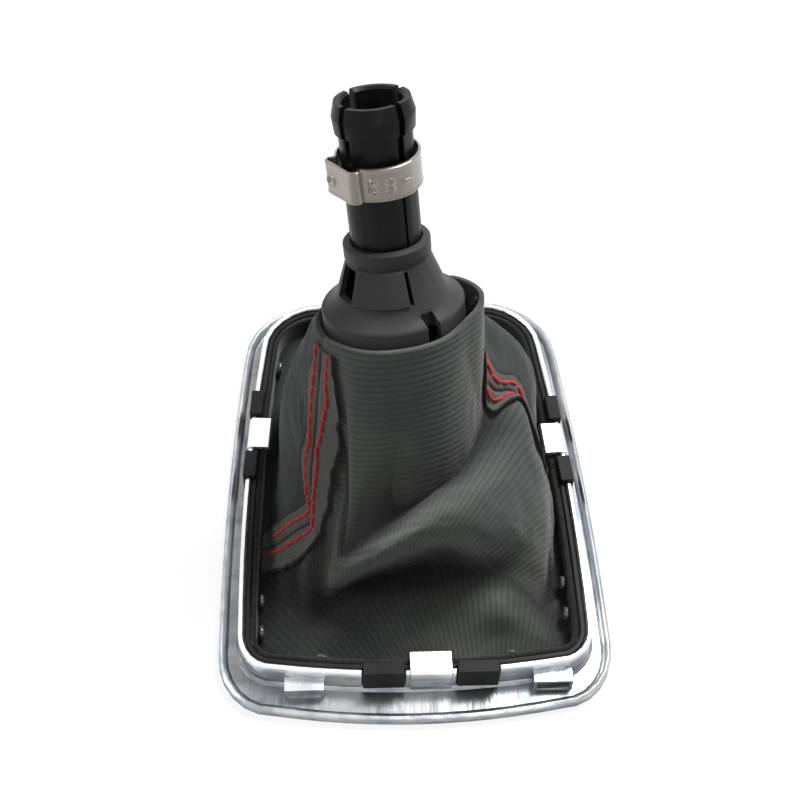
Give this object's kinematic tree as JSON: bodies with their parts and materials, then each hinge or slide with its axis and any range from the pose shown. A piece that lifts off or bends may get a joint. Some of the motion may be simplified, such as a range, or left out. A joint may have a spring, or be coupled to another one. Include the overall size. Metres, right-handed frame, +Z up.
{
  "type": "gear knob",
  "caption": "Gear knob with its gaiter turned inside out over the head, lying face down on a plated trim frame, with the split lever sleeve and an ear clamp on top",
  "frame": {"origin": "middle of the trim frame's outline on the surface that it lies on", "axes": "+Z up, +Y along the trim frame's length from its near, wider end to its far end, +X to the right"},
  "size_m": [0.1166, 0.1652, 0.1435],
  "materials": {
    "crown_plating": "bright plated ring",
    "stainless_band": "bright rolled stainless strip",
    "black_moulding": "matte black moulded plastic",
    "black_nylon": "matte black nylon",
    "grey_lining": "smooth grey knit backing",
    "grey_knit": "ribbed grey knit backing with raw seam edges",
    "stud_heads": "smooth dark rivet heads",
    "black_leather": "fine-grained black leather",
    "core_moulding": "plain moulded plastic",
    "red_thread": "red topstitching thread",
    "black_sleeve": "black nylon with a soft sheen",
    "satin_ring": "satin plated ring",
    "tie_cord": "thin black plastic tie",
    "gloss_cap": "gloss black plastic",
    "bright_plating": "bright satin plating on moulded plastic"
  },
  "bodies": {
    "root": {"cap_bezel": "crown_plating", "ear_clamp": "stainless_band", "gaiter_carrier": "black_moulding", "gaiter_collar": "black_nylon", "gaiter_far_panel": "grey_lining", "gaiter_near_panel": "grey_knit", "gaiter_stud_01": "stud_heads", "gaiter_stud_02": "stud_heads", "gaiter_stud_03": "stud_heads", "gaiter_stud_04": "stud_heads", "gaiter_stud_05": "stud_heads", "gaiter_stud_06": "stud_heads", "gaiter_stud_07": "stud_heads", "gaiter_stud_08": "stud_heads", "gaiter_stud_09": "stud_heads", "gaiter_stud_10": "stud_heads", "gaiter_stud_11": "stud_heads", "gaiter_stud_12": "stud_heads", "head_cover": "black_leather", "knob_core": "core_moulding", "left_thread_inner": "red_thread", "left_thread_outer": "red_thread", "lever_sleeve": "black_sleeve", "neck_ring": "satin_ring", "neck_tie": "tie_cord", "right_thread_inner": "red_thread", "right_thread_outer": "red_thread", "shift_cap": "gloss_cap", "trim_frame": "bright_plating"}
  },
  "joints": []
}
